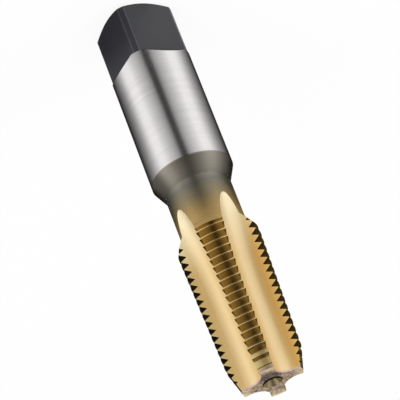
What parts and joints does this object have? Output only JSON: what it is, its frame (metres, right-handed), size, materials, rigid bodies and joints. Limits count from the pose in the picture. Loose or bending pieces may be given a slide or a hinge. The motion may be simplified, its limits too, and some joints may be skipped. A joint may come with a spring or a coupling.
{
  "type": "taper pipe tap",
  "caption": "Hand tap for an internal taper pipe thread: square drive, round ground shank, narrow neck and a tapered, straight-fluted threading end with a lead chamfer.",
  "frame": {"origin": "centre of the flat face at the square's end", "axes": "+Z along the tool's axis from the square to the cutting end; the square's flats face +X, -X, +Y and -Y"},
  "size_m": [0.0142, 0.0142, 0.074],
  "materials": {
    "tool_steel": "ground shank, black oxide square, gold titanium nitride coating on the flutes and thread"
  },
  "bodies": {
    "root": {"tap": "tool_steel"}
  },
  "joints": []
}
